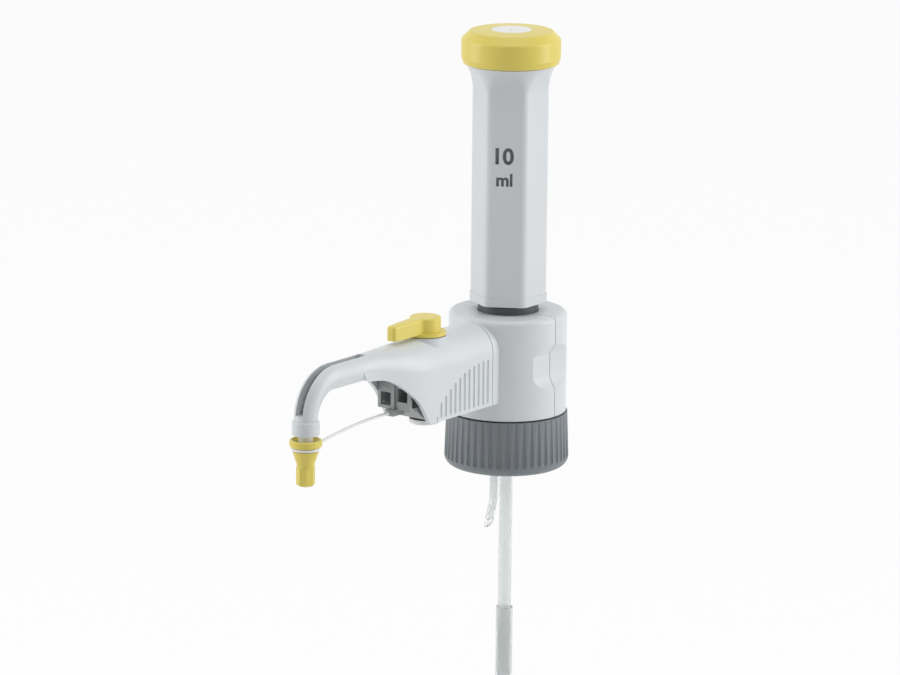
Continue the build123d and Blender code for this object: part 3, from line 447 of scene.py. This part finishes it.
# Operators
class DISPENSER_OT_plastic_parts(bpy.types.Operator):
    """Finish the moulded housings, ring, caps, lever and inner frame"""

    bl_idname = "dispenser.plastic_parts"
    bl_label = "Moulded Parts"

    def execute(self, context):
        colours = context.scene.dispenser_colours
        dress(SHELL_NODES, moulded("shell_plastic", colours.shell, roughness=0.36, coat=0.05))
        dress(("screw_ring",), moulded("ring_plastic", colours.ring, roughness=0.44, grain=1900.0))
        dress(DARK_NODES, moulded("dark_plastic", colours.safety, roughness=0.5))
        dress(YELLOW_NODES, moulded("yellow_plastic", colours.yellow, roughness=0.38, coat=0.05))
        dress(FRAME_NODES, moulded("inner_plastic", colours.inner, roughness=0.5))
        return {"FINISHED"}


class DISPENSER_OT_valve_parts(bpy.types.Operator):
    """Finish the white wetted parts, the clear tubes, the glass, the steel and the rubber"""

    bl_idname = "dispenser.valve_parts"
    bl_label = "Valve Parts and Tubes"

    def execute(self, context):
        colours = context.scene.dispenser_colours
        dress(WHITE_NODES, fluoropolymer("white_fluoropolymer", colours.white))
        dress(TUBE_NODES, clear_tubing("milky_tube", (0.93, 0.95, 0.95), 0.16, transmission=0.85))
        dress(("discharge_tube",), clear_tubing("clear_tube", (0.93, 0.95, 0.96), 0.05))
        dress(("guide_tube",), clear_tubing("clear_guide", (0.95, 0.96, 0.97), 0.04))
        dress(GLASS_NODES, clear_tubing("borosilicate", (0.97, 0.98, 0.98), 0.0))
        dress(STEEL_NODES, steel("stainless_steel"))
        dress(("plug_ring",), rubber("black_rubber"))
        return {"FINISHED"}


class DISPENSER_OT_capacity_mark(bpy.types.Operator):
    """Print the plain capacity mark on the sleeve's face beside the arm"""

    bl_idname = "dispenser.capacity_mark"
    bl_label = "Capacity Mark"

    def execute(self, context):
        sizes = context.scene.dispenser_sizes
        material = ink("printed_ink", context.scene.dispenser_colours.ink)
        face_distance = sleeve_face_distance()
        turn = MARK_FACE_TURN
        outward = Vector((math.sin(turn), -math.cos(turn), 0))
        across = Vector((math.cos(turn), math.sin(turn), 0))
        rows = (
            ("mark_number", "10", sizes.number_height, sizes.number_level),
            ("mark_unit", "ml", sizes.unit_height, sizes.unit_level),
        )
        for name, words, height, level in rows:
            mesh = mesh_of_text(words, height, sizes.ink_thickness)
            place = outward * face_distance + across * MARK_SHIFT + Vector((0, 0, level))
            turned = Matrix((across, Vector((0, 0, 1)), outward)).transposed().to_4x4()
            mesh.transform(Matrix.Translation(place) @ turned)
            new_piece(name, mesh, material, body="piston_unit")
        return {"FINISHED"}


def sleeve_face_distance():
    """How far the sleeve's flat faces lie from its axis, read above its rim and below its flare."""
    low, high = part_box("cylinder_sleeve")
    floor, ceiling = low.z + SLEEVE_RIM_CLEARANCE, high.z - SLEEVE_FLARE_CLEARANCE
    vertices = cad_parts["cylinder_sleeve"].data.vertices
    return max(vertex.co.x for vertex in vertices if floor < vertex.co.z < ceiling)


class DISPENSER_OT_tether(bpy.types.Operator):
    """Make the soft strap between the arm's lug and the ring round the tip cap"""

    bl_idname = "dispenser.tether"
    bl_label = "Tether Strap"

    def execute(self, context):
        sizes = context.scene.dispenser_sizes
        colours = context.scene.dispenser_colours
        material = moulded("strap_plastic", colours.white, roughness=0.5)
        dress(("tether_ring",), material)
        strap_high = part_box("tether_strap")[1]
        ring_low, ring_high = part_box("tether_ring")
        start = Vector((0, ring_high.y - STRAP_RING_LAP, (ring_low.z + ring_high.z) / 2))
        end = Vector((0, strap_high.y - STRAP_LUG_LAP, strap_high.z - STRAP_LUG_DROP))
        points = []
        for step in range(STRAP_STEPS + 1):
            share = step / STRAP_STEPS
            point = start.lerp(end, share)
            point.z += 4 * share * (1 - share) * sizes.strap_bow
            points.append(point)
        mesh = oval_sweep(points, sizes.strap_width, sizes.strap_thickness)
        strap = new_piece("tether_strap_soft", mesh, material)
        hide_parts("tether_strap")
        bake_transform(strap)
        return {"FINISHED"}


class DISPENSER_OT_studio(bpy.types.Operator):
    """Set the camera, the soft lamps, the pale floor and the white surroundings"""

    bl_idname = "dispenser.studio"
    bl_label = "Studio"

    def execute(self, context):
        settings = context.scene.studio_settings
        add_camera(context, settings)
        add_lamps(context, settings)
        add_floor(context)
        add_surroundings(context, settings)
        context.scene.view_settings.view_transform = "Standard"
        return {"FINISHED"}


def add_camera(context, settings):
    az, el = settings.azimuth, settings.elevation
    back = Vector((math.sin(az) * math.cos(el), -math.cos(az) * math.cos(el), math.sin(el)))
    right = Vector((math.cos(az), math.sin(az), 0))
    up = back.cross(right)
    aim = right * settings.aim_aside + Vector((0, 0, settings.aim_height))
    data = bpy.data.cameras.new("camera")
    data.sensor_width = SENSOR_WIDTH
    data.lens = settings.lens
    data.clip_end = VIEW_DEPTH
    camera = bpy.data.objects.new("camera", data)
    context.scene.collection.objects.link(camera)
    turned = Matrix((right, up, back)).transposed() @ Matrix.Rotation(settings.roll, 3, "Z")
    camera.matrix_world = Matrix.Translation(aim + back * settings.distance) @ turned.to_4x4()
    context.scene.camera = camera


def add_lamp(context, name, place, size, power):
    data = bpy.data.lights.new(name, "AREA")
    data.shape = "RECTANGLE"
    data.size, data.size_y = size
    data.energy = power
    lamp = bpy.data.objects.new(name, data)
    context.scene.collection.objects.link(lamp)
    direction = Vector(LAMP_AIM) - Vector(place)
    lamp.matrix_world = Matrix.Translation(place) @ direction.to_track_quat("-Z", "Y").to_matrix().to_4x4()


def add_lamps(context, settings):
    for name, (place, size, share) in LAMPS.items():
        add_lamp(context, name, place, size, settings.key_power * share)


def add_floor(context):
    """A pale floor under the lowest part, white to the eye and soft under the shadow."""
    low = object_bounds()[0]
    shape = bmesh.new()
    bmesh.ops.create_grid(shape, x_segments=1, y_segments=1, size=FLOOR_SIZE)
    mesh = bpy.data.meshes.new("floor")
    shape.to_mesh(mesh)
    shape.free()
    mesh.transform(Matrix.Translation((0, 0, low[2] - FLOOR_CLEARANCE)))
    floor = bpy.data.objects.new("floor", mesh)
    context.scene.collection.objects.link(floor)
    mesh.materials.append(floor_paint())
    floor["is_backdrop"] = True


def floor_paint():
    finish = Finish("floor_paint")
    finish.set(Base_Color=(0.9, 0.9, 0.9, 1), Roughness=0.9, Specular_IOR_Level=0.0)
    glow = finish.node("ShaderNodeEmission", {}, {"Color": (1, 1, 1, 1), "Strength": 1.0})
    share = seen_rays(finish) * FLOOR_GLOW
    matte = Shade(finish, finish.shader.outputs[0])
    paint = finish.node("ShaderNodeMixShader", {}, {0: share, 1: matte, 2: glow})
    finish.feed(finish.tree.nodes["Material Output"].inputs["Surface"], paint)
    return finish.material


def seen_rays(finish):
    """1 for rays from the camera, a glossy surface or a clear one, else 0."""
    path = finish.node("ShaderNodeLightPath")
    outputs = path.socket.node.outputs
    total = (Shade(finish, outputs["Is Camera Ray"]) + Shade(finish, outputs["Is Glossy Ray"])
             + Shade(finish, outputs["Is Transmission Ray"]))
    return finish.node("ShaderNodeMath", {"operation": "MINIMUM"}, {0: total, 1: 1.0})


class SkyFinish(Finish):
    """The world's nodes, with the same methods as a material's."""

    def __init__(self, world):
        world.use_nodes = True
        self.tree = world.node_tree
        self.shader = self.tree.nodes["Background"]


def add_surroundings(context, settings):
    world = context.scene.world or bpy.data.worlds.new("studio")
    context.scene.world = world
    sky = SkyFinish(world)
    rays = seen_rays(sky)
    sky.set(Color=(1, 1, 1, 1), Strength=rays * (1.0 - settings.fill) + settings.fill)


class DISPENSER_PT_panel(bpy.types.Panel):
    """The dispenser's parts and studio in the sidebar"""

    bl_label = "Dispenser"
    bl_idname = "DISPENSER_PT_panel"
    bl_space_type = "VIEW_3D"
    bl_region_type = "UI"
    bl_category = "Dispenser"

    def draw(self, context):
        layout = self.layout
        for operator in OPERATORS:
            layout.operator(operator.bl_idname)
        for group_name in GROUPS:
            group = getattr(context.scene, group_name)
            box = layout.box()
            for name in group.bl_rna.properties.keys():
                if name not in ("rna_type", "name"):
                    box.prop(group, name)


OPERATORS = (
    DISPENSER_OT_plastic_parts,
    DISPENSER_OT_valve_parts,
    DISPENSER_OT_capacity_mark,
    DISPENSER_OT_tether,
    DISPENSER_OT_studio,
)
GROUPS = {
    "dispenser_colours": DispenserColours,
    "dispenser_sizes": DispenserSizes,
    "studio_settings": StudioSettings,
}


def register():
    for name, group in GROUPS.items():
        bpy.utils.register_class(group)
        setattr(bpy.types.Scene, name, bpy.props.PointerProperty(type=group))
    for operator in OPERATORS:
        bpy.utils.register_class(operator)
    bpy.utils.register_class(DISPENSER_PT_panel)


def unregister():
    bpy.utils.unregister_class(DISPENSER_PT_panel)
    for operator in reversed(OPERATORS):
        bpy.utils.unregister_class(operator)
    for name, group in GROUPS.items():
        delattr(bpy.types.Scene, name)
        bpy.utils.unregister_class(group)


def main():
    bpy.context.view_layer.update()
    register()
    for operator in OPERATORS:
        category, action = operator.bl_idname.split(".")
        getattr(getattr(bpy.ops, category), action)()
    bpy.context.view_layer.update()


if __name__ == "__main__":
    main()
